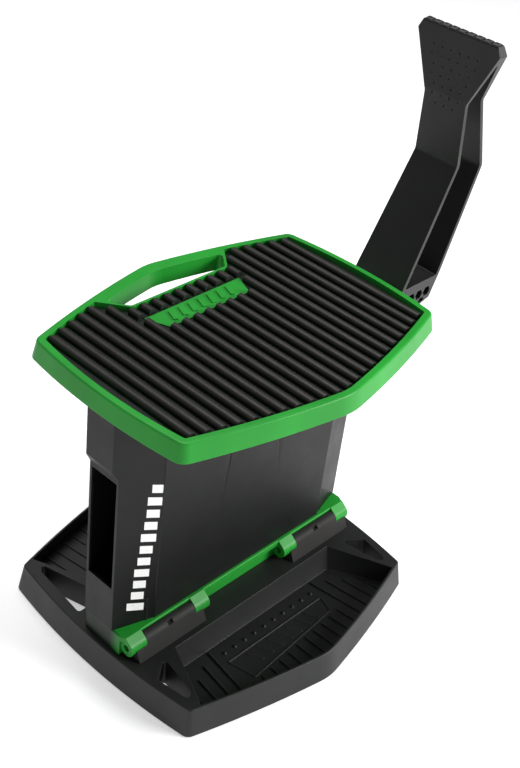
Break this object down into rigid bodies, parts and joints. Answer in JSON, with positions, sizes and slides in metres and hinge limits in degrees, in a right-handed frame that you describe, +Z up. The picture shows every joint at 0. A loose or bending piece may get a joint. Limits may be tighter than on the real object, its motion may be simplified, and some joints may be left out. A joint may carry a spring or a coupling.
{
  "type": "foot-lever lift stand",
  "caption": "Low folding lift stand with a foot-trayed base, a hollow hinged column, a ribbed rubber platform with a carrying slot, and a foot lever that raises the platform.",
  "frame": {"origin": "centre of the base's footprint, on the floor under the rubber feet", "axes": "+Z up; +X along the hinge line, towards the end with the foot lever; -Y is the hinge side, +Y the side with the carrying slot"},
  "size_m": [0.5092, 0.3522, 0.5905],
  "materials": {
    "black_plastic": "moulded glass-filled plastic, fine spark-eroded grain",
    "dark_plastic": "moulded plastic, smooth satin",
    "green_plastic": "bright green moulded plastic, semi-gloss",
    "black_rubber": "ribbed rubber, matt",
    "pad_rubber": "soft grey-black rubber",
    "zinc_steel": "zinc-plated steel",
    "pin_steel": "ground steel pin",
    "white_acetal": "natural acetal",
    "bronze": "sintered bronze"
  },
  "bodies": {
    "base": {"base_tray": "black_plastic", "rubber_feet": "pad_rubber", "hinge_blocks": "dark_plastic", "hinge_pins": "pin_steel", "block_screws": "zinc_steel"},
    "column": {"hinge_frame": "green_plastic", "column_front": "black_plastic", "column_rear": "black_plastic", "shell_screws": "zinc_steel", "frame_screws": "zinc_steel", "lever_axle": "pin_steel", "thrust_washers": "white_acetal", "guide_pads": "white_acetal"},
    "platform": {"riser": "black_plastic", "roller_bracket": "zinc_steel", "bracket_screws": "zinc_steel", "roller_pin": "pin_steel", "platform_frame": "green_plastic", "rubber_mat": "black_rubber", "badge_plate": "green_plastic", "deck_screws": "zinc_steel"},
    "roller": {"lift_roller": "white_acetal"},
    "lever": {"lever_arm": "dark_plastic", "lift_cam": "zinc_steel", "cam_bolts": "zinc_steel", "lever_bush": "bronze"}
  },
  "joints": [
    {"name": "column_fold", "type": "hinge", "parent": "base", "child": "column", "pos_m": [0, -0.0395, 0.047], "axis": [1, 0, 0], "range_deg": [0, 70]},
    {"name": "platform_lift", "type": "slide", "parent": "column", "child": "platform", "axis": [0, 0, 1], "range_m": [0, 0.08]},
    {"name": "roller_spin", "type": "hinge", "parent": "platform", "child": "roller", "pos_m": [0.08543, 0, 0.1961], "axis": [0, 1, 0], "continuous": true},
    {"name": "lever_press", "type": "hinge", "parent": "column", "child": "lever", "pos_m": [0.14, 0, 0.165], "axis": [0, 1, 0], "range_deg": [0, 84]}
  ],
  "couplings": [
    {"joint": "platform_lift", "follows": "lever_press", "m_per_rad": 0.05456}
  ]
}
